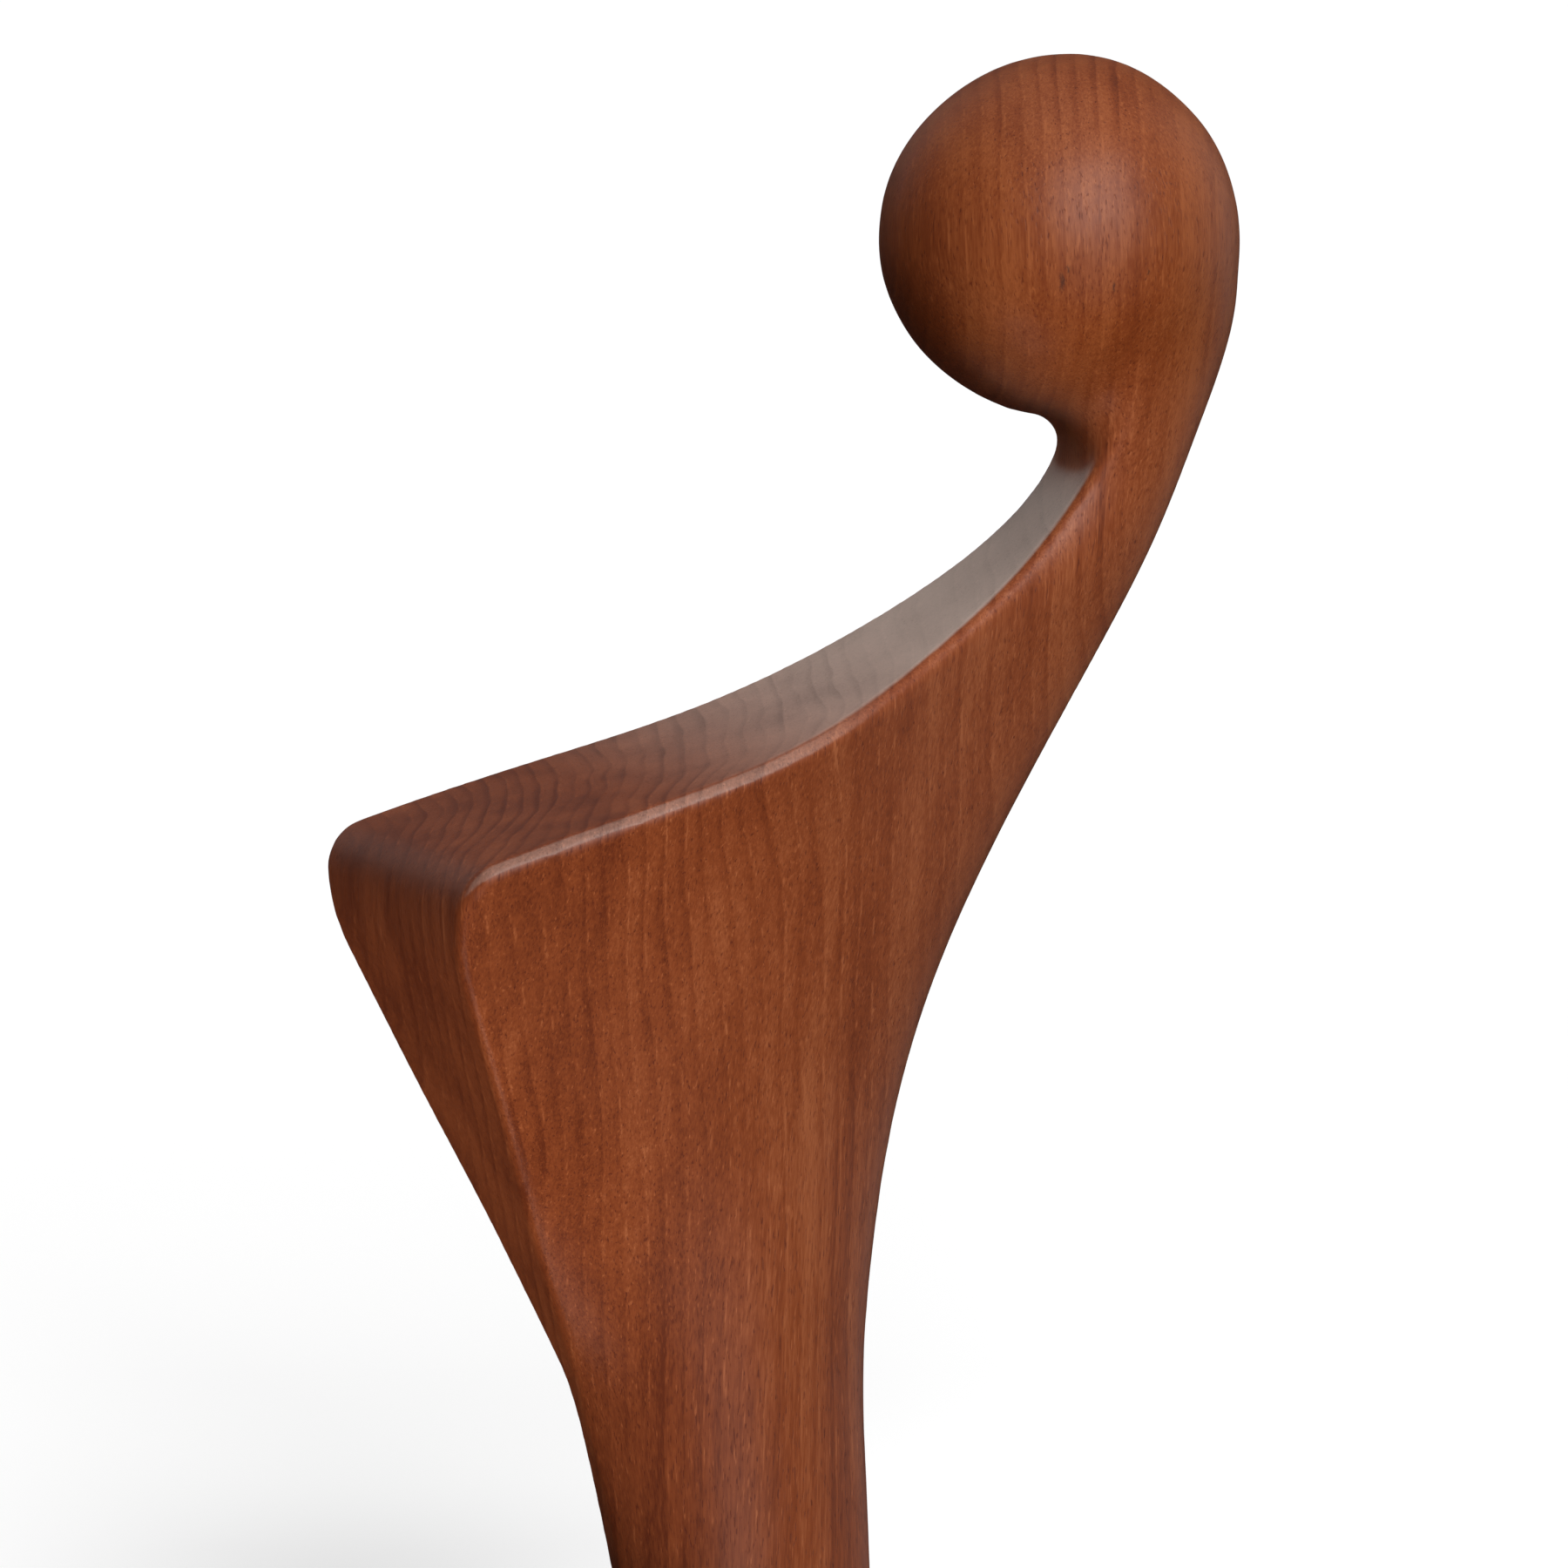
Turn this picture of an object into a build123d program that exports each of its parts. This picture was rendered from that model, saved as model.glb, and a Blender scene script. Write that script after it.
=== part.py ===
from build123d import *
import os
from typing import NamedTuple

# A carved hardwood headrest: a head carved from one block (ball, curved neck,
# saddle and stem) on a separate foot.  The stem ends in a through tenon, which
# two wedges spread in the foot's mortise and one pin locks.
#
# X runs from the lip of the saddle (-X) to the ball (+X), Y is across, Z is up.
# The origin is the middle of the foot's flat sole.  Millimetres.

# ---------------------------------------------------------------- foot
FOOT_LENGTH = 128.0          # along X
FOOT_WIDTH = 98.0            # along Y
FOOT_HEIGHT = 30.0           # sole to the seat of the stem
RIM_THICKNESS = 8.0          # flat plate before the foot sweeps up to the stem
RIM_ROUND = 3.0

SWEEP_SINK = 1.0             # the sweep starts this far inside the plate
SWEEP_POWER = 2.4            # how hollow the sweep is
SWEEP_STEPS = 5
SEAT_LEDGE = 2.6             # the foot's top stands out from the stem all round

# ---------------------------------------------------------------- stem seat
SEAT_FRONT = -17.2           # X of the stem's front and back where it meets the foot
SEAT_BACK = 19.0
SEAT_HALF = 15.5             # half of the stem's thickness there

# ---------------------------------------------------------------- joint
TENON_LENGTH_X = 22.0
TENON_WIDTH_Y = 16.0
TENON_CORNER = 2.0
JOINT_GAP = 0.1              # glue line on each side of the tenon
WEDGE_OFFSET = 6.5           # wedges stand this far each side of the tenon's middle
WEDGE_THICK = 3.0            # at the driven end
WEDGE_TIP = 0.8              # at the thin end, also the saw kerf's width
WEDGE_LENGTH = 21.0
KERF_BEYOND = 4.0            # the kerf runs on past the wedge's tip
PIN_DIAMETER = 5.0
PIN_HEIGHT = 19.0            # pin axis above the sole
PIN_GAP = 0.05

# ---------------------------------------------------------------- ball
BALL_DIAMETER = 55.0
BALL_X = 49.6
BALL_RISE = 224.1            # ball centre above the stem's seat
DRAWN_RISE = 224.1           # the rise that the heights below are drawn for

# ---------------------------------------------------------------- saddle and front
# Heights are above the stem's seat, and stretch with the ball's rise.
LIP_X = -55.2                # upright front face of the lip
LIP_TOP = 131.9
LIP_ROUND = 8.0
CHIN_TOP = 120.0             # where the upright face and the sloping front would meet
CHIN_ROUND = 28.0
PINCH_X = -27.4              # the sloping front narrows to the keel here
PINCH_HEIGHT = 52.0
KEEL_X = -20.3               # the keel part way down, and at the seat
KEEL_HEIGHT = 22.0
THROAT_X = 54.4              # upright part of the throat, under the ball
THROAT_TOP = 203.0
LIP_DIRECTION = (1, 0.36)    # slope of the saddle as it leaves the lip
SADDLE = [                   # saddle line behind the lip: X and height above the seat
    (-24.1, 142.0), (2.4, 151.3), (25.9, 164.6), (43.0, 178.3), (51.7, 189.7),
]
ARRIS = 1.6                  # rounding of the crisp edges
CUT_HALF = 70.0              # half width of the tools that cut right across


class Station(NamedTuple):
    """One level section of the block before its front and saddle are cut."""
    height: float            # above the stem's seat
    front_x: float
    front_half: float        # half width at the front
    mid_x: float
    mid_half: float          # half width part way back
    rear_x: float
    rear_half: float         # half width where the back starts to round over
    back_x: float


STATIONS = [
    Station(0, SEAT_FRONT - 0.8, 0.3, -6, SEAT_HALF, 10, 11.0, SEAT_BACK),
    Station(11, -19.2, 0.3, -5, 14.9, 10.5, 10.3, 19.6),
    Station(22, -21.1, 0.3, -4, 14.8, 11, 10.0, 19.6),
    Station(38, -24.9, 0.3, -4.5, 15.0, 11, 10.0, 18.9),
    Station(52, -29.0, 0.9, -6, 15.8, 10.5, 10.5, 18.6),
    Station(70, -42, 7.4, -12, 17.8, 10, 12.5, 19.9),
    Station(90, -52, 24, -16, 23.0, 12, 13, 23.2),
    Station(110, -62, 38, -20, 29.5, 17, 14.5, 29.1),
    Station(132, -66, 47.5, -16, 36.8, 25, 16, 39.2),
    Station(152, -58, 50, 2, 37.2, 34, 15.5, 50.4),
    Station(172, -14, 41, 32, 19.3, 50, 12.5, 61.6),
    Station(188, 24, 18.0, 49, 13.0, 61, 10.8, 68.7),
    Station(196, 34, 19.5, 53, 16.0, 64, 12.4, 71.7),
    Station(204, 42, 21.5, 57, 19.0, 66.5, 14.2, 74.6),
    Station(212, 46, 23.5, 57.5, 22.2, 67.5, 17.4, 76.5),
    Station(220, 48, 24.6, 57.5, 24.0, 68, 18.4, 76.2),
]


def up(height):
    """A drawn height above the seat, stretched to the ball's rise."""
    return height * BALL_RISE / DRAWN_RISE


def level_section(s):
    """The closed outline of one station, symmetric about the X-Z plane."""
    side = [
        (s.front_x, -s.front_half), (s.mid_x, -s.mid_half), (s.rear_x, -s.rear_half),
        (s.back_x, 0),
        (s.rear_x, s.rear_half), (s.mid_x, s.mid_half), (s.front_x, s.front_half),
    ]
    with BuildSketch(Plane.XY.offset(FOOT_HEIGHT + up(s.height))) as sketch:
        with BuildLine():
            Spline(*side)
            Line(side[-1], side[0])
        make_face()
    return sketch.sketch


def front_cutter():
    """Everything in front of the keel, chin, lip, saddle and throat, as one prism."""
    far_x = LIP_X - 60
    top = BALL_RISE + 40
    seat = (SEAT_FRONT, -1)
    keel = (KEEL_X, up(KEEL_HEIGHT))
    pinch = (PINCH_X, up(PINCH_HEIGHT))
    chin = (LIP_X, up(CHIN_TOP))
    lip = (LIP_X, up(LIP_TOP))
    saddle = [(x, up(z)) for x, z in SADDLE]
    throat = (THROAT_X, up(THROAT_TOP))
    with BuildSketch(Plane.XZ.offset(-CUT_HALF)) as sketch:
        with BuildLine():
            Line((far_x, -1), seat)
            Spline(seat, keel, pinch)
            Line(pinch, chin)
            Line(chin, lip)
            Spline(lip, *saddle, throat, tangents=[LIP_DIRECTION, (0, 1)])
            Line(throat, (THROAT_X, top))
            Line((THROAT_X, top), (far_x, top))
            Line((far_x, top), (far_x, -1))
        make_face()
    cutter = extrude(sketch.sketch, 2 * CUT_HALF)
    cutter = fillet(cross_edge(cutter, chin), CHIN_ROUND)
    cutter = fillet(cross_edge(cutter, lip), LIP_ROUND)
    return Pos(0, 0, FOOT_HEIGHT) * cutter


def cross_edge(shape, point):
    """The edge along Y that is nearest to a point given as (x, z)."""
    return shape.edges().filter_by(Axis.Y).sort_by_distance((point[0], 0, point[1]))[0]


def wedge(x, extra=0.0):
    """One wedge along Y, or with extra its kerf, which runs on past the tip."""
    tip = WEDGE_LENGTH
    half_base, half_tip = WEDGE_THICK / 2, WEDGE_TIP / 2
    outline = [(-half_base, 0), (-half_tip, tip), (-half_tip, tip + extra),
               (half_tip, tip + extra), (half_tip, tip), (half_base, 0)]
    if not extra:
        outline = [outline[0], outline[1], outline[4], outline[5]]
    with BuildSketch(Plane.XZ.offset(-TENON_WIDTH_Y / 2)) as sketch:
        with BuildLine():
            Polyline(*outline, close=True)
        make_face()
    return Pos(x, 0, 0) * extrude(sketch.sketch, TENON_WIDTH_Y)


def tenon_bar(gap=0.0):
    """The tenon from the sole up to the seat, or with a gap its mortise."""
    with BuildSketch() as sketch:
        RectangleRounded(TENON_LENGTH_X + 2 * gap, TENON_WIDTH_Y + 2 * gap, TENON_CORNER + gap)
    return extrude(sketch.sketch, FOOT_HEIGHT)


def pin_bar(gap=0.0):
    """A round bar along Y at the pin's height."""
    return Pos(0, 0, PIN_HEIGHT) * Rot(90, 0, 0) * Cylinder(PIN_DIAMETER / 2 + gap, FOOT_WIDTH)


def foot_body():
    """The foot's outside: an oval plate that sweeps up to the seat."""
    half_x, half_y = FOOT_LENGTH / 2, FOOT_WIDTH / 2
    with BuildSketch() as oval:
        Ellipse(half_x, half_y)
    plate = extrude(oval.sketch, RIM_THICKNESS)
    plate = fillet(plate.edges().group_by(Axis.Z)[-1], RIM_ROUND)
    seat_x = (SEAT_BACK + SEAT_FRONT) / 2
    top_x = (SEAT_BACK - SEAT_FRONT) / 2 + SEAT_LEDGE
    top_y = SEAT_HALF + SEAT_LEDGE
    sections = []
    for i in range(SWEEP_STEPS + 1):
        t = i / SWEEP_STEPS
        spread = (1 - t) ** SWEEP_POWER
        z = RIM_THICKNESS - SWEEP_SINK + t * (FOOT_HEIGHT - RIM_THICKNESS + SWEEP_SINK)
        with BuildSketch(Plane.XY.offset(z)) as section:
            with Locations((seat_x * t, 0)):
                Ellipse(top_x + spread * (half_x - RIM_ROUND - top_x),
                        top_y + spread * (half_y - RIM_ROUND - top_y))
        sections.append(section.sketch)
    return plate + loft(sections)


def carved_head():
    """Ball, neck, saddle and stem in one block, with the kerfed tenon under it."""
    block = loft([level_section(s) for s in STATIONS])
    head = block - front_cutter()
    head = fillet(head.edges().sort_by(Edge.length)[-2:], ARRIS)
    head += Pos(BALL_X, 0, FOOT_HEIGHT + BALL_RISE) * Sphere(BALL_DIAMETER / 2)
    head += tenon_bar()
    for x in (-WEDGE_OFFSET, WEDGE_OFFSET):
        head -= wedge(x, KERF_BEYOND)
    return head - pin_bar(PIN_GAP)


def foot():
    """The foot with its mortise and pin hole."""
    return foot_body() - tenon_bar(JOINT_GAP) - pin_bar()


parts = {
    "carved_head": carved_head(),
    "foot": foot(),
    "tenon_wedges": Compound([wedge(-WEDGE_OFFSET), wedge(WEDGE_OFFSET)]),
    "locking_pin": pin_bar() & foot_body(),
}

os.makedirs("parts", exist_ok=True)
for name, shape in parts.items():
    export_step(shape, f"parts/{name}.step")
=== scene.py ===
"""The looks of a carved hardwood headrest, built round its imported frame."""
import logging
import math
from dataclasses import dataclass, field
from enum import Enum
from typing import Union

import bpy
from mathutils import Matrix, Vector
from mathutils.kdtree import KDTree


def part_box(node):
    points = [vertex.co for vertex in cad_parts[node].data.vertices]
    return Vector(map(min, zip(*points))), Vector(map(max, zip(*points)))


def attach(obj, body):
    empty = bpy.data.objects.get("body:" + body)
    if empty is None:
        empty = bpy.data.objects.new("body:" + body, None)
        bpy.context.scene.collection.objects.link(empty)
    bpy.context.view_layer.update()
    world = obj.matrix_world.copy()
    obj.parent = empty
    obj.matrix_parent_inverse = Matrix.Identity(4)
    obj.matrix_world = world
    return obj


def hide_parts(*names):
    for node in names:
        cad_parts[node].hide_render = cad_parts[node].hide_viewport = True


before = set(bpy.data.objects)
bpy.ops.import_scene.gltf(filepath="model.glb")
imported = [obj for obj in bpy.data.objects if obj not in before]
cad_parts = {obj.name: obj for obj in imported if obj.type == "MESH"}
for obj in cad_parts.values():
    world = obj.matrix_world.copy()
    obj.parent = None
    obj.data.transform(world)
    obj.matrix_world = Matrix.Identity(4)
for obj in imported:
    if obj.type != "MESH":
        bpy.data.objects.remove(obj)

LOG = logging.getLogger("headrest")
MM = 0.001
# Corners nearer than this are joined.
WELD = 0.002 * MM
# Where the camera and the lamps point.
LOOK_AT = Vector((6.2, 0, 171.3)) * MM
Colour = tuple[float, float, float]
Feed = Union["Socket", float, tuple]


# ------------------------------------------------------------------ shader maths
class Socket:
    """One output of a shader node. Arithmetic on it adds Math nodes."""

    def __init__(self, tree: "Tree", out: bpy.types.NodeSocket) -> None:
        """Keeps the tree and the output."""
        self.tree, self.out = tree, out

    def maths(self, operation: str, *values: Feed) -> "Socket":
        """Adds one Math node.

        Args:
            operation: The node's operation.
            values: Its inputs in order.

        Returns:
            The node's output.
        """
        return self.tree.node("ShaderNodeMath", {"operation": operation},
                              dict(enumerate(values)))

    def __add__(self, other: Feed) -> "Socket":
        """self + other"""
        return self.maths("ADD", self, other)

    def __radd__(self, other: Feed) -> "Socket":
        """other + self"""
        return self.maths("ADD", other, self)

    def __sub__(self, other: Feed) -> "Socket":
        """self - other"""
        return self.maths("SUBTRACT", self, other)

    def __rsub__(self, other: Feed) -> "Socket":
        """other - self"""
        return self.maths("SUBTRACT", other, self)

    def __mul__(self, other: Feed) -> "Socket":
        """self * other"""
        return self.maths("MULTIPLY", self, other)

    def __rmul__(self, other: Feed) -> "Socket":
        """other * self"""
        return self.maths("MULTIPLY", other, self)

    def __truediv__(self, other: Feed) -> "Socket":
        """self / other"""
        return self.maths("DIVIDE", self, other)

    def __rtruediv__(self, other: Feed) -> "Socket":
        """other / self"""
        return self.maths("DIVIDE", other, self)

    def ramp(self, low: float, high: float) -> "Socket":
        """Rises smoothly from 0 at low to 1 at high.

        Args:
            low: Where the ramp leaves 0.
            high: Where it reaches 1.

        Returns:
            The ramp's value.
        """
        return self.tree.node(
            "ShaderNodeMapRange", {"interpolation_type": "SMOOTHSTEP"},
            {"Value": self, "From Min": low, "From Max": high})

    def floor(self) -> "Socket":
        """The whole number below."""
        return self.maths("FLOOR", self)

    def fraction(self) -> "Socket":
        """The part above the whole number."""
        return self.maths("FRACT", self)


class Tree:
    """A node tree, with one method that adds any node."""

    def __init__(self, owner: bpy.types.ID) -> None:
        """Empties the owner's node tree and keeps its nodes and links.

        Args:
            owner: The material or world.
        """
        owner.use_nodes = True
        self.nodes = owner.node_tree.nodes
        self.links = owner.node_tree.links
        self.nodes.clear()

    def node(self, kind: str, settings: dict, feeds: dict, output: int | str = 0) -> Socket:
        """Adds one node.

        Args:
            kind: The node's type.
            settings: Its own settings; "stops" are a ramp's (place, colour) pairs.
            feeds: A value or a socket for each input, by name or number.
            output: The output wanted.

        Returns:
            That output.
        """
        made = self.nodes.new(kind)
        for key, value in settings.items():
            if key == "stops":
                self.set_stops(made.color_ramp, value)
            else:
                setattr(made, key, value)
        for key, value in feeds.items():
            if isinstance(value, Socket):
                self.links.new(value.out, made.inputs[key])
            else:
                made.inputs[key].default_value = value
        return Socket(self, made.outputs[output] if made.outputs else None)

    @staticmethod
    def set_stops(ramp: bpy.types.ColorRamp, stops: list[tuple[float, Colour]]) -> None:
        """Gives a colour ramp its stops.

        Args:
            ramp: The ramp.
            stops: Place and colour of each stop, in order.
        """
        while len(ramp.elements) < len(stops):
            ramp.elements.new(0.5)
        for element, (place, colour) in zip(ramp.elements, stops):
            element.position = place
            element.color = (*colour, 1)

    def vector(self, operation: str, *values: Feed, output: int | str = 0) -> Socket:
        """Adds a Vector Math node.

        Args:
            operation: The node's operation.
            values: Its inputs in order.
            output: The output wanted.

        Returns:
            That output.
        """
        return self.node("ShaderNodeVectorMath", {"operation": operation},
                         dict(enumerate(values)), output)

    def noise(self, place: Socket, stretch: Colour, detail: float = 2.0,
              roughness: float = 0.5, shift: float = 0.0, output: str = "Fac") -> Socket:
        """Noise with its own scale along each axis.

        Args:
            place: The point, in millimetres.
            stretch: Waves per millimetre along X, Y and Z.
            detail: How many finer layers it has.
            roughness: How strong they are.
            shift: Moves the pattern, so that two don't match.
            output: "Fac" for a value, "Color" for a vector.

        Returns:
            The noise.
        """
        scaled = self.vector("MULTIPLY_ADD", place, stretch, (shift, shift * 0.7, shift * 1.3))
        return self.node("ShaderNodeTexNoise", {}, {
            "Vector": scaled, "Scale": 1.0, "Detail": detail, "Roughness": roughness}, output)


# ------------------------------------------------------------------ finishes
class Grain(Enum):
    """Which way a piece's fibres run: the turn that brings them upright, in degrees."""

    UPRIGHT = (0.0, 0.0, 0.0)
    ALONG_X = (0.0, 90.0, 0.0)
    ALONG_Y = (90.0, 0.0, 0.0)


@dataclass(frozen=True)
class Check:
    """One short drying crack: its place and its half width and half length, in millimetres."""

    x: float
    z: float
    wide: float
    long: float


@dataclass(frozen=True)
class AgeAndSheen:
    """Drying cracks and wear on the head, a sheen painted into the grey of the saddle and its
    near arris, and a darker, warmer tint on the ball. Pairs are where a change starts and is
    full, in millimetres, or as the part of a surface's normal that points up or to the near
    side."""

    saddle_x: tuple[float, float] = (-28.0, 34.0)
    saddle_z: tuple[float, float] = (120.0, 150.0)
    saddle_top: tuple[float, float] = (213.0, 224.0)
    saddle_up: tuple[float, float] = (0.22, 0.55)
    saddle_side: tuple[float, float] = (0.10, 0.45)
    saddle_amount: float = 0.85
    arris_x: tuple[float, float] = (-6.0, 18.0)
    arris_z: tuple[float, float] = (140.0, 160.0)
    arris_up: tuple[float, float] = (0.15, 0.40)
    arris_side: tuple[float, float] = (0.30, 0.55)
    face_side: tuple[float, float] = (0.96, 1.0)
    arris_amount: float = 0.24
    # Greys of the saddle and near arris: dry wear and a painted sheen in one.
    dry_and_sheen_dark: Colour = (0.22, 0.145, 0.110)
    dry_and_sheen: Colour = (0.46, 0.36, 0.305)
    dry_and_sheen_pale: Colour = (0.58, 0.46, 0.40)
    # The ball is tinted darker and warmer from the neck up.
    ball_z: tuple[float, float] = (222.0, 240.0)
    ball_tint: Colour = (0.86, 0.79, 0.62)
    check_y: float = -22.8
    check_wander: float = 1.6
    check_amount: float = 0.7
    check_colour: Colour = (0.020, 0.010, 0.008)
    checks: tuple[Check, ...] = (
        Check(42.6, 248.4, 0.55, 2.2), Check(43.4, 250.2, 0.40, 1.0),
        Check(50.6, 247.6, 0.45, 1.2), Check(56.0, 249.6, 0.35, 0.8))

    def wear_and_sheen(self, tree: Tree, colour: Socket, place: Socket, tone: Socket) -> Socket:
        """Greys the saddle and its near arris, for dry wear and a painted sheen, and tints the
        ball darker and warmer.

        Args:
            tree: The material's nodes.
            colour: The wood's own colour.
            place: The point, in millimetres.
            tone: The wood's light and dark, from 0 to 1.

        Returns:
            The worn colour.
        """
        facing = tree.node("ShaderNodeNewGeometry", {}, {}, "Normal")
        up = tree.vector("DOT_PRODUCT", facing, (0, 0, 1), output="Value")
        side = tree.vector("DOT_PRODUCT", facing, (0, -1, 0), output="Value")
        x = tree.node("ShaderNodeSeparateXYZ", {}, {0: place}, "X")
        z = tree.node("ShaderNodeSeparateXYZ", {}, {0: place}, "Z")
        # The saddle's grey is partly dry wear and partly painted sheen, growing from the lip
        # towards the neck.
        saddle = (up.ramp(*self.saddle_up) * x.ramp(*self.saddle_x) * z.ramp(*self.saddle_z)
                  * (1 - z.ramp(*self.saddle_top)) * (1 - side.ramp(*self.saddle_side)))
        # The near arris by the lip is greyed the same way: wear and a painted highlight.
        arris = (up.ramp(*self.arris_up) * side.ramp(*self.arris_side)
                 * (1 - side.ramp(*self.face_side))
                 * z.ramp(*self.arris_z) * (1 - x.ramp(*self.arris_x)))
        grey = tree.node("ShaderNodeValToRGB", {"stops": [
            (0.0, self.dry_and_sheen_dark), (0.5, self.dry_and_sheen), (1.0, self.dry_and_sheen_pale)]},
            {"Fac": 0.25 + 0.5 * tone})
        # Tints the ball darker and warmer from the neck up.
        held = tree.node("ShaderNodeMix", {"data_type": "RGBA", "blend_type": "MULTIPLY"}, {
            0: z.ramp(*self.ball_z), 6: colour, 7: (*self.ball_tint, 1)}, 2)
        return tree.node("ShaderNodeMix", {"data_type": "RGBA"}, {
            0: saddle * self.saddle_amount + arris * self.arris_amount, 6: held, 7: grey}, 2)

    def crack(self, tree: Tree, colour: Socket, place: Socket) -> Socket:
        """Draws the few short drying cracks on the near side of the ball.

        Args:
            tree: The material's nodes.
            colour: The wood's colour.
            place: The point, in millimetres.

        Returns:
            The colour with the dark cracks over it.
        """
        wobble = tree.noise(place, (0.9, 0.9, 0.9), 2.0, 0.6, 5.3, "Color")
        bent = tree.vector("MULTIPLY_ADD", wobble, (self.check_wander,) * 3, place)
        middle = self.check_wander / 2
        dark = 0.0
        for check in self.checks:
            off = tree.vector("SUBTRACT", bent, (
                check.x + middle, self.check_y, check.z + middle))
            scaled = tree.vector("MULTIPLY", off, (1 / check.wide, 0.1, 1 / check.long))
            dark = dark + (1 - tree.vector("LENGTH", scaled, output="Value").ramp(0.2, 1.0))
        return tree.node("ShaderNodeMix", {"data_type": "RGBA"}, {
            0: dark * self.check_amount, 6: colour, 7: (*self.check_colour, 1)}, 2)


@dataclass(frozen=True)
class Layer:
    """One scale of noise in wood. Its waves per millimetre are across, across and along."""

    waves: Colour
    detail: float
    roughness: float
    shift: float

    def over(self, tree: Tree, place: Socket, seed: float) -> Socket:
        """The layer's value at a point."""
        return tree.noise(place, self.waves, self.detail, self.roughness, seed + self.shift)


WAVER = Layer((0.11, 0.03, 0.006), 2.0, 0.5, 3.1)
BAND = Layer((0.16, 0.05, 0.007), 3.0, 0.55, 7.7)
FIBRE = Layer((2.6, 2.6, 0.14), 5.0, 0.70, 11.3)
HAIR = Layer((4.6, 4.6, 0.22), 2.0, 0.6, 12.5)
MOTTLE = Layer((0.30, 0.30, 0.10), 3.0, 0.6, 13.9)
PATCH = Layer((0.035, 0.035, 0.02), 3.0, 0.5, 17.9)
UNEVEN = Layer((0.05, 0.05, 0.03), 1.0, 0.5, 19.1)
PORE = Layer((3.6, 3.6, 0.55), 1.0, 0.5, 23.1)
FLECK = Layer((3.0, 3.0, 0.30), 1.0, 0.5, 31.7)
BROKEN = Layer((0.9, 0.9, 0.06), 2.0, 0.5, 37.3)


@dataclass(frozen=True)
class Timber:
    """An oiled solid hardwood, coloured all through by rings, fibres and pores; it may also be
    painted lighter towards +X, as light from the right would make it.
    """

    name: str
    grain: Grain
    deep: Colour
    body: Colour
    warm: Colour
    ring: float = 2.8
    pith: tuple[float, float] = (240.0, -64.0)
    gloss: float = 0.38
    seed: float = 0.0
    # Painted light: tone added per millimetre along X, lighter towards the lit right side.
    painted_light_drift: float = 0.0
    age: AgeAndSheen | None = None

    def rings(self, tree: Tree, place: Socket) -> Socket:
        """How far a point is from the pith, counted in rings.

        Args:
            tree: The material's nodes.
            place: The bent point, in millimetres.

        Returns:
            The ring count.
        """
        out = tree.vector("MULTIPLY_ADD", place, (1, 1, 0), (*self.pith, 0))
        away = tree.vector("LENGTH", out, output="Value")
        return away / self.ring + 0.9 * WAVER.over(tree, place, self.seed)

    def material(self) -> bpy.types.Material:
        """The wood as a node material.

        Returns:
            The material.
        """
        made = bpy.data.materials.new(self.name)
        tree = Tree(made)
        raw = tree.node("ShaderNodeTexCoord", {}, {}, "Object")
        turned = tree.node("ShaderNodeMapping", {}, {
            "Vector": raw,
            "Rotation": tuple(math.radians(a) for a in self.grain.value),
            "Scale": (1 / MM, 1 / MM, 1 / MM)})
        wander = tree.noise(turned, (0.016, 0.016, 0.006), 2.0, 0.5, self.seed, "Color")
        centred = tree.vector("SUBTRACT", wander, (0.5, 0.5, 0.5))
        place = tree.vector("MULTIPLY_ADD", centred, (14, 14, 0), turned)

        count = self.rings(tree, place)
        step = count.fraction()
        each = tree.node("ShaderNodeTexWhiteNoise", {"noise_dimensions": "1D"},
                         {"W": count.floor() + self.seed}, "Value")
        # A ring darkens slowly, ends at once, and the next may start with a pale line.
        late = step.ramp(0.45, 0.93) * (1 - step.ramp(0.94, 1.0)) * (0.25 + 0.75 * each)
        line = step.ramp(0.02, 0.08) * (1 - step.ramp(0.10, 0.2))

        band = BAND.over(tree, place, self.seed)
        fibre = FIBRE.over(tree, place, self.seed)
        hair = HAIR.over(tree, place, self.seed)
        mottle = MOTTLE.over(tree, place, self.seed)
        patch = PATCH.over(tree, turned, self.seed)
        uneven = UNEVEN.over(tree, turned, self.seed).ramp(0.35, 0.65)
        pore = PORE.over(tree, place, self.seed).ramp(0.62, 0.72)
        fleck = FLECK.over(tree, place, self.seed).ramp(0.64, 0.76)
        broken = BROKEN.over(tree, place, self.seed).ramp(0.5, 0.68)
        facing = tree.node("ShaderNodeNewGeometry", {}, {}, "Normal")
        end = tree.vector("DOT_PRODUCT", facing, (0, 0, 1), output="Value").ramp(0.4, 0.9)
        across = tree.node("ShaderNodeSeparateXYZ", {}, {0: turned}, "X")

        # The last term is painted light: the wood grows lighter towards +X, as if lit from the
        # right.
        tone = (0.50 + 0.9 * (band - 0.5) + 1.2 * (fibre - 0.5) + 0.7 * (hair - 0.5)
                + 0.5 * (patch - 0.5) + 0.4 * (mottle - 0.5)
                - (0.10 + 0.16 * uneven + 0.14 * end) * late
                + 0.40 * line * broken + 0.46 * fleck - 0.46 * pore
                + self.painted_light_drift * across)
        colour = tree.node("ShaderNodeValToRGB", {"stops": [
            (0.0, self.deep), (0.5, self.body), (1.0, self.warm)]}, {"Fac": tone})
        if self.age:
            colour = self.age.wear_and_sheen(tree, colour, turned, tone)
            colour = self.age.crack(tree, colour, turned)
        rough = self.gloss + 0.10 * (fibre - 0.5) + 0.06 * pore
        height = fibre * 0.4 - pore - 0.25 * late
        normal = tree.node("ShaderNodeBump", {}, {
            "Strength": 0.35, "Distance": 0.06 * MM, "Height": height})
        shader = tree.node("ShaderNodeBsdfPrincipled", {}, {
            "Base Color": colour, "Roughness": rough, "Normal": normal, "IOR": 1.4})
        tree.node("ShaderNodeOutputMaterial", {}, {"Surface": shader})
        return made


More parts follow.
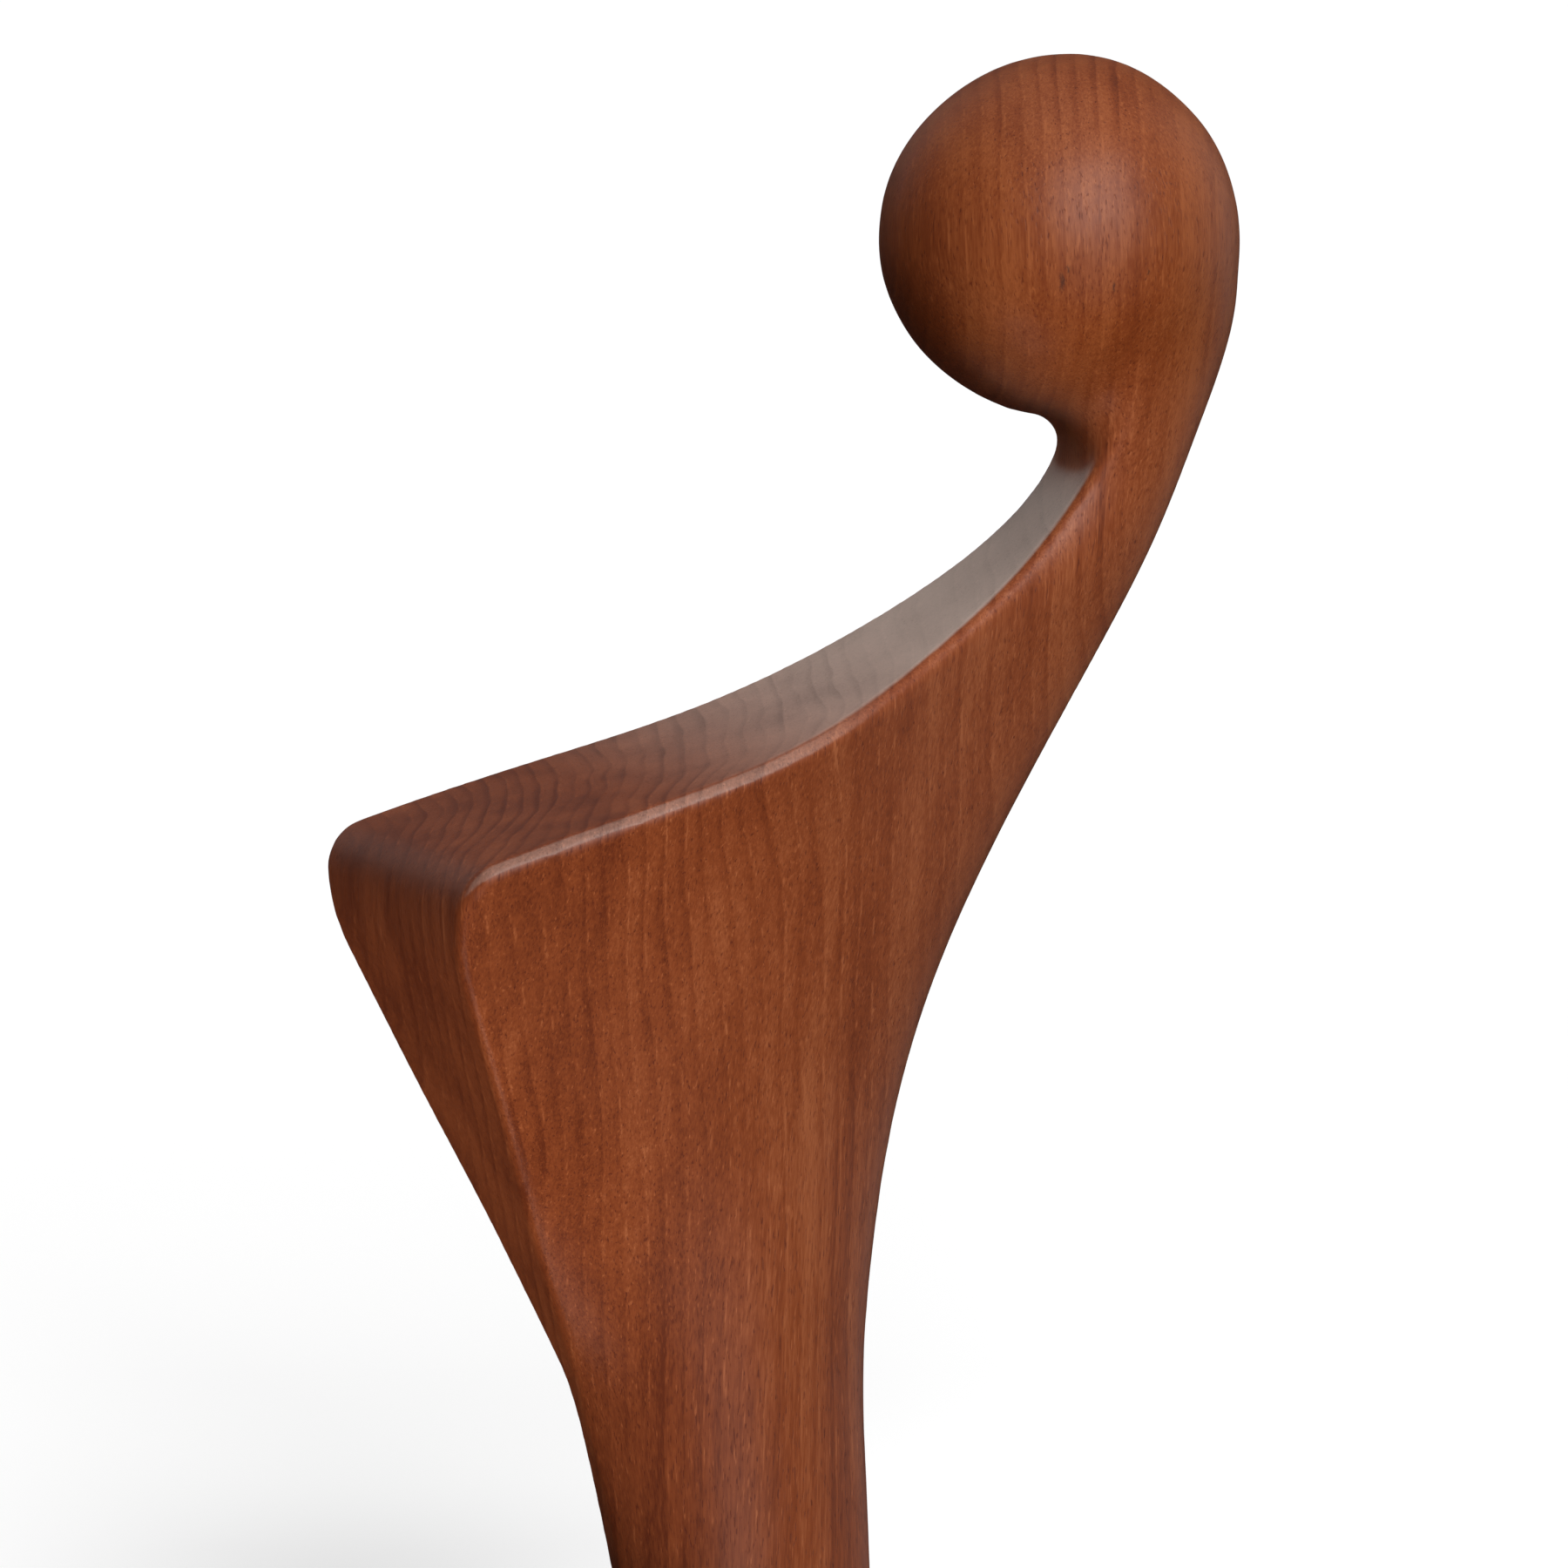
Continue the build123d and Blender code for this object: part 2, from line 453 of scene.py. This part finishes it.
@dataclass(frozen=True)
class PalePaper:
    """The plain pale floor, which stays as light far off as it is close by."""

    shade: float = 0.80
    glow_near: float = 0.415
    glow_far: float = 0.865
    near: float = -1.5
    far: float = 3.5

    def material(self) -> bpy.types.Material:
        """The floor's material.

        Returns:
            The material.
        """
        made = bpy.data.materials.new("pale_paper")
        tree = Tree(made)
        raw = tree.node("ShaderNodeTexCoord", {}, {}, "Object")
        away = tree.vector("LENGTH", raw, output="Value")
        glow = self.glow_near + (self.glow_far - self.glow_near) * away.ramp(self.near, self.far)
        grey = tree.node("ShaderNodeCombineColor", {}, {0: glow, 1: glow, 2: glow})
        shader = tree.node("ShaderNodeBsdfPrincipled", {}, {
            "Base Color": (self.shade, self.shade, self.shade, 1), "Roughness": 0.9,
            "Specular IOR Level": 0.0, "Emission Color": grey, "Emission Strength": 1.0})
        tree.node("ShaderNodeOutputMaterial", {}, {"Surface": shader})
        return made


HEAD_WOOD = Timber("head_wood", Grain.UPRIGHT,
                   deep=(0.098, 0.019, 0.006), body=(0.192, 0.0435, 0.0125),
                   warm=(0.295, 0.087, 0.031), painted_light_drift=0.0040, age=AgeAndSheen())
FOOT_WOOD = Timber("foot_wood", Grain.ALONG_X,
                   deep=(0.095, 0.017, 0.004), body=(0.190, 0.041, 0.011),
                   warm=(0.280, 0.080, 0.026), pith=(30.0, 190.0), seed=51.0)
WEDGE_WOOD = Timber("wedge_wood", Grain.UPRIGHT,
                    deep=(0.020, 0.009, 0.005), body=(0.045, 0.020, 0.011),
                    warm=(0.085, 0.040, 0.022), ring=1.9, seed=83.0)
PIN_WOOD = Timber("pin_wood", Grain.ALONG_Y,
                  deep=(0.034, 0.012, 0.005), body=(0.072, 0.025, 0.010),
                  warm=(0.110, 0.050, 0.026), ring=1.6, pith=(9.0, 60.0), seed=97.0)


# ------------------------------------------------------------------ pieces
def only(piece: bpy.types.Object) -> None:
    """Makes one object the only one selected, and the active one.

    Args:
        piece: The object.
    """
    for other in bpy.context.selected_objects:
        other.select_set(False)
    piece.select_set(True)
    bpy.context.view_layer.objects.active = piece


def merged_copy(node: str, name: str) -> bpy.types.Object:
    """A free copy of a frame node, with its loose triangles joined.

    Args:
        node: The node copied.
        name: The new piece's name.

    Returns:
        The copy.
    """
    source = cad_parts[node]
    mesh = source.data.copy()
    piece = bpy.data.objects.new(name, mesh)
    bpy.context.scene.collection.objects.link(piece)
    only(piece)
    bpy.ops.object.mode_set(mode="EDIT")
    bpy.ops.mesh.select_all(action="SELECT")
    bpy.ops.mesh.remove_doubles(threshold=WELD)
    bpy.ops.object.mode_set(mode="OBJECT")
    mesh.name = name
    return piece


def apply_modifier(piece: bpy.types.Object, kind: str, **settings: object) -> None:
    """Adds a modifier, sets it and applies it.

    Args:
        piece: The piece that it changes.
        kind: The modifier's type.
        settings: Its settings by name.
    """
    only(piece)
    made = piece.modifiers.new(kind.lower(), kind)
    for key, value in settings.items():
        setattr(made, key, value)
    bpy.ops.object.modifier_apply(modifier=made.name)


def finish_piece(piece: bpy.types.Object, finish: Timber, slot: str, *nodes: str) -> None:
    """Dresses a piece, puts it on its body and reports it.

    Args:
        piece: The piece.
        finish: Its finish.
        slot: Not used.
        nodes: The frame nodes that it stands for.
    """
    piece.data.materials.clear()
    piece.data.materials.append(finish.material())
    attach(piece, "root")
    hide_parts(*nodes)
    LOG.info("%s: %d faces", piece.name, len(piece.data.polygons))


def rise(value: float, low: float, high: float) -> float:
    """How far a value has come from low towards high, as a straight line, up to 1."""
    return min(1.0, (value - low) / (high - low))


@dataclass(frozen=True)
class HandMark:
    """A flat or swelling on the ball: angle up from +X and half width in degrees, and how
    far the surface moves out in millimetres."""

    angle: float
    width: float
    depth: float


HAND_MARKS = (HandMark(128, 44, -0.62), HandMark(14, 26, -0.22), HandMark(236, 26, -0.22),
              HandMark(72, 28, 0.34), HandMark(192, 22, 0.20), HandMark(348, 18, 0.22))


@dataclass
class CarvedHead:
    """Ball, neck, saddle and stem, carved from one block, so with no seam anywhere."""

    ball_radius: float = 27.5 * MM
    grid: float = 0.85 * MM
    hollow_base: float = 205.0 * MM
    hollow_radius: float = 5.2 * MM
    hollow_skin: float = 0.12 * MM
    hollow_rounds: int = 3
    hollow_trim: float = 1.4
    blend_core: float = 2.5 * MM
    blend_reach: float = 9.0 * MM
    blend_rounds: int = 60
    skin_rounds: int = 8
    joint_inside: float = 0.03 * MM
    joint_outside: float = 0.08 * MM
    mark_skin: float = 1.5 * MM
    mark_drop: float = 26.0 * MM
    arris_low: float = 155.0 * MM
    arris_end: float = 22.0 * MM
    arris_full: float = 2.0 * MM
    arris_inner: float = 20.0 * MM
    arris_rounds: int = 16
    ball_centre: Vector = field(init=False)

    def __post_init__(self) -> None:
        """Finds the ball's centre, to 0.1 mm, from the frame's top and far side."""
        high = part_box("carved_head")[1]
        self.ball_centre = Vector((
            round(high[0] / MM, 1) * MM - self.ball_radius, 0,
            round(high[2] / MM, 1) * MM - self.ball_radius))

    def build(self) -> bpy.types.Object:
        """Builds and dresses the head.

        Returns:
            The piece.
        """
        piece = merged_copy("carved_head", "head_carving")
        joint = self.joint_points(piece)
        self.round_hollows(piece)
        apply_modifier(piece, "REMESH", mode="VOXEL", voxel_size=self.grid,
                       use_smooth_shade=True)
        self.hand_shape(piece)
        self.round_joint(piece, joint)
        self.rub_arris(piece)
        only(piece)
        bpy.ops.object.shade_smooth()
        finish_piece(piece, HEAD_WOOD, "head_wood", "carved_head")
        return piece

    def joint_points(self, piece: bpy.types.Object) -> KDTree:
        """Finds where the neck runs into the ball.

        Args:
            piece: The merged copy of the frame's head.

        Returns:
            Those points, ready to be searched.
        """
        reach = [(v.co - self.ball_centre).length for v in piece.data.vertices]
        inside = self.ball_radius + self.joint_inside
        outside = self.ball_radius + self.joint_outside
        found = set()
        for edge in piece.data.edges:
            near, far = sorted(edge.vertices, key=lambda i: reach[i])
            if reach[near] < inside and reach[far] > outside:
                found.add(near)
        points = KDTree(len(found))
        for index in found:
            points.insert(piece.data.vertices[index].co, index)
        points.balance()
        return points

    def hand_shape(self, piece: bpy.types.Object) -> None:
        """Makes the ball a little uneven, as a ball carved by eye is.

        Args:
            piece: The remeshed head.
        """
        for mark in HAND_MARKS:
            group = piece.vertex_groups.new(name="hand_mark")
            for vertex in piece.data.vertices:
                out = vertex.co - self.ball_centre
                if out.z < -self.mark_drop or out.length > self.ball_radius + self.mark_skin:
                    continue
                turn = (math.degrees(math.atan2(out.z, out.x)) - mark.angle + 180) % 360 - 180
                if abs(turn) < mark.width:
                    bump = 0.5 + 0.5 * math.cos(math.pi * turn / mark.width)
                    rim = math.hypot(out.x, out.z) / self.ball_radius
                    group.add([vertex.index], bump * rim ** 2, "REPLACE")
            apply_modifier(piece, "DISPLACE", strength=mark.depth * MM, mid_level=0.0,
                           vertex_group=group.name)
            piece.vertex_groups.clear()

    @staticmethod
    def cut_below(piece: bpy.types.Object, height: float) -> None:
        """Cuts a piece off level and closes the cut.

        Args:
            piece: The piece.
            height: Everything lower goes.
        """
        only(piece)
        bpy.ops.object.mode_set(mode="EDIT")
        bpy.ops.mesh.select_all(action="SELECT")
        bpy.ops.mesh.bisect(plane_co=(0, 0, height), plane_no=(0, 0, 1),
                            use_fill=True, clear_inner=True)
        bpy.ops.object.mode_set(mode="OBJECT")

    def round_hollows(self, piece: bpy.types.Object) -> None:
        """Fills the hollow corners round the ball and throat to one radius.

        A copy is swollen by that radius, which closes the corners, and shrunk again to just
        under the surface. Its cut base rounds too, so it is trimmed off higher up.

        Args:
            piece: The head, to which the rounded copy is joined.
        """
        filler = piece.copy()
        filler.data = piece.data.copy()
        bpy.context.scene.collection.objects.link(filler)
        self.cut_below(filler, self.hollow_base)
        apply_modifier(filler, "REMESH", mode="VOXEL", voxel_size=self.grid)
        apply_modifier(filler, "DISPLACE", strength=self.hollow_radius, mid_level=0.0)
        apply_modifier(filler, "REMESH", mode="VOXEL", voxel_size=self.grid)
        apply_modifier(filler, "SMOOTH", factor=0.5, iterations=self.hollow_rounds)
        apply_modifier(filler, "DISPLACE", strength=-self.hollow_radius - self.hollow_skin,
                       mid_level=0.0)
        self.cut_below(filler, self.hollow_base + self.hollow_trim * self.hollow_radius)
        only(piece)
        filler.select_set(True)
        bpy.ops.object.join()

    def round_joint(self, piece: bpy.types.Object, joint: KDTree) -> None:
        """Smooths the whole surface lightly, and the neck's joint with the ball fully.

        Args:
            piece: The remeshed head.
            joint: Points where neck and ball meet.
        """
        group = piece.vertex_groups.new(name="round_the_joint")
        for vertex in piece.data.vertices:
            weight = rise(joint.find(vertex.co)[2], self.blend_reach, self.blend_core)
            if weight > 0:
                group.add([vertex.index], weight, "REPLACE")
        apply_modifier(piece, "SMOOTH", factor=0.5, iterations=self.skin_rounds)
        apply_modifier(piece, "SMOOTH", factor=0.5, iterations=self.blend_rounds,
                       vertex_group=group.name)
        piece.vertex_groups.clear()

    def rub_arris(self, piece: bpy.types.Object) -> None:
        """Rounds the arrises on both sides of the saddle near the lip a little more.

        Args:
            piece: The smoothed head.
        """
        group = piece.vertex_groups.new(name="rubbed_arris")
        for vertex in piece.data.vertices:
            up, side, place = vertex.normal.z, abs(vertex.normal.y), vertex.co
            if place.z < self.arris_low or abs(place.y) < self.arris_inner:
                continue
            # Only what slopes between the saddle's hollow and the upright cheek is rubbed.
            weight = min(rise(up, 0.05, 0.25), rise(up, 0.97, 0.87), rise(side, 0.08, 0.28),
                         rise(place.x, self.arris_end, self.arris_full))
            if weight > 0:
                group.add([vertex.index], weight, "REPLACE")
        apply_modifier(piece, "SMOOTH", factor=0.5, iterations=self.arris_rounds,
                       vertex_group=group.name)
        piece.vertex_groups.clear()


@dataclass
class Foot:
    """The oval foot, with the stem's tenon wedged and pinned in it."""

    crease: float = 40.0

    def build(self) -> bpy.types.Object:
        """Builds the foot and dresses its wedges and pin.

        Returns:
            The foot.
        """
        piece = merged_copy("foot", "foot_oval")
        only(piece)
        bpy.ops.object.shade_smooth_by_angle(angle=math.radians(self.crease))
        finish_piece(piece, FOOT_WOOD, "foot_wood", "foot")
        for node, finish in (("tenon_wedges", WEDGE_WOOD), ("locking_pin", PIN_WOOD)):
            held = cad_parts[node]
            held.material_slots[0].material = finish.material()
            LOG.info("%s: dressed", node)
        return piece


# ------------------------------------------------------------------ studio
class Lights(Enum):
    """What a lamp lights: the wood's own colour, its sheen, both, or the floor alone."""

    ALL = "all"
    BODY = "body"
    SHEEN = "sheen"
    FLOOR = "floor"


@dataclass(frozen=True)
class Lamp:
    """A square soft light. Right, up and near are its way from the object as the camera
    sees it, in parts of away, which is in metres as its size is; power is in watts."""

    name: str
    right: float
    up: float
    near: float
    away: float
    size: float
    power: float
    lights: Lights


LAMPS = (
    Lamp("key_body", 0.38, 0.40, 0.83, 1.8, 1.6, 30, Lights.BODY),
    Lamp("key_sheen", 0.36, 0.40, 0.84, 1.8, 1.6, 22, Lights.SHEEN),
    Lamp("front_body", 0.15, 0.24, 0.96, 2.6, 0.5, 20, Lights.BODY),
    Lamp("low_front", 0.40, -0.35, 0.85, 1.8, 1.2, 3, Lights.ALL),
    Lamp("top_body", 0.0, 1.0, 0.1, 1.5, 1.2, 9, Lights.BODY),
    Lamp("rear_body", -0.35, 0.30, -0.89, 1.6, 1.4, 14, Lights.BODY),
    Lamp("bounce_body", -0.38, -0.90, 0.20, 1.6, 0.8, 27, Lights.BODY),
    Lamp("shadow_maker", 0.12, 0.20, 0.97, 2.6, 0.6, 150, Lights.FLOOR),
)


@dataclass
class Studio:
    """Floor, soft light and the camera. Angles are in degrees, lens and sensor in
    millimetres, other sizes in metres, and the glows are strengths of the room's light."""

    target: Vector
    yaw: float = 15.0
    elevation: float = 4.3
    distance: float = 3.0
    lens: float = 454.0
    sensor: float = 36.0
    floor_size: float = 60.0
    floor_gap: float = 0.3 * MM
    dark: float = 0.010
    sky: float = 0.06
    overhead: float = 0.15
    left_glow: float = 0.13
    right_glow: float = 0.41
    low_glow: float = 0.06
    floor_only: bpy.types.Collection = field(init=False)
    not_floor: bpy.types.Collection = field(init=False)

    def direction(self) -> Vector:
        """The way the camera looks."""
        a, e = math.radians(self.yaw), math.radians(self.elevation)
        return Vector((math.sin(a) * math.cos(e), math.cos(a) * math.cos(e), -math.sin(e)))

    def side(self) -> Vector:
        """The way to the camera's right."""
        return self.direction().cross(Vector((0, 0, 1))).normalized()

    def floor(self) -> None:
        """Lays the pale floor, which neither lights nor mirrors in the wood."""
        bpy.ops.mesh.primitive_plane_add(size=self.floor_size, location=(0, 0, -self.floor_gap))
        floor = bpy.context.active_object
        floor.name = "studio_floor"
        floor.data.materials.append(PalePaper().material())
        floor.visible_diffuse = False
        floor.visible_glossy = False
        floor.visible_shadow = False
        self.floor_only = bpy.data.collections.new("floor_only")
        self.not_floor = bpy.data.collections.new("not_floor")
        for group, state in ((self.floor_only, "INCLUDE"), (self.not_floor, "EXCLUDE")):
            group.objects.link(floor)
            group.collection_objects[0].light_linking.link_state = state

    def hang(self, lamp: Lamp) -> None:
        """Hangs one lamp so that it faces the object.

        Args:
            lamp: The lamp.
        """
        look, side = self.direction(), self.side()
        top = side.cross(look)
        place = self.target + (side * lamp.right + top * lamp.up - look * lamp.near) * lamp.away
        bpy.ops.object.light_add(type="AREA", location=place)
        light = bpy.context.active_object
        light.name = lamp.name
        light.rotation_mode = "QUATERNION"
        light.rotation_quaternion = (self.target - place).to_track_quat("-Z", "Y")
        light.data.size = lamp.size
        light.data.energy = lamp.power
        light.visible_diffuse = lamp.lights is not Lights.SHEEN
        light.visible_glossy = lamp.lights is not Lights.BODY
        lit = self.floor_only if lamp.lights is Lights.FLOOR else self.not_floor
        light.light_linking.receiver_collection = lit

    def room(self) -> None:
        """Wraps the set in a dim room with a glow overhead, at the right, at the upper left
        behind the object and at the lower left. The camera itself sees it as plain white."""
        world = bpy.data.worlds.new("studio_room")
        bpy.context.scene.world = world
        tree = Tree(world)
        way = tree.node("ShaderNodeTexCoord", {}, {}, "Generated")
        look = self.direction()
        flat = Vector((look.x, look.y, 0)).normalized()
        height = tree.vector("DOT_PRODUCT", way, (0, 0, 1), output="Value")
        behind = tree.vector("DOT_PRODUCT", way, tuple(flat), output="Value")
        right = tree.vector("DOT_PRODUCT", way, tuple(self.side()), output="Value")
        left_panel = ((0 - right).ramp(0.16, 0.40) * behind.ramp(0.1, 0.5)
                      * height.ramp(0.09, 0.26) * (1 - height.ramp(0.55, 0.9)))
        right_panel = right.ramp(0.36, 0.72) * behind.ramp(-0.3, 0.3) * height.ramp(-0.5, -0.1)
        low_left = tree.vector("DOT_PRODUCT", way, (-0.85, -0.43, -0.30), output="Value")
        glow = (self.dark + self.sky * height.ramp(-0.05, 0.20)
                + self.overhead * height.ramp(0.4, 0.95) + self.left_glow * left_panel
                + self.right_glow * right_panel + self.low_glow * low_left.ramp(0.5, 0.95))
        seen = tree.node("ShaderNodeLightPath", {}, {}, "Is Camera Ray")
        strength = glow * (1 - seen) + seen
        back = tree.node("ShaderNodeBackground", {}, {
            "Color": (1, 1, 1, 1), "Strength": strength})
        tree.node("ShaderNodeOutputWorld", {}, {"Surface": back})

    def camera(self) -> None:
        """Stands the camera at its place and makes it the scene's."""
        place = self.target - self.direction() * self.distance
        bpy.ops.object.camera_add(location=place)
        camera = bpy.context.active_object
        camera.name = "studio_camera"
        camera.rotation_mode = "QUATERNION"
        camera.rotation_quaternion = self.direction().to_track_quat("-Z", "Y")
        camera.data.lens = self.lens
        camera.data.sensor_width = self.sensor
        camera.data.clip_end = 100.0
        bpy.context.scene.camera = camera

    def build(self) -> None:
        """Builds the whole set."""
        self.floor()
        for lamp in LAMPS:
            self.hang(lamp)
        self.room()
        self.camera()
        bpy.context.scene.view_settings.view_transform = "Standard"


def main() -> None:
    """Builds every piece and the studio, and reports each piece."""
    logging.basicConfig(level=logging.INFO, format="%(name)s %(message)s")
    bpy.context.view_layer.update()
    CarvedHead().build()
    Foot().build()
    Studio(LOOK_AT).build()


if __name__ == "__main__":
    main()
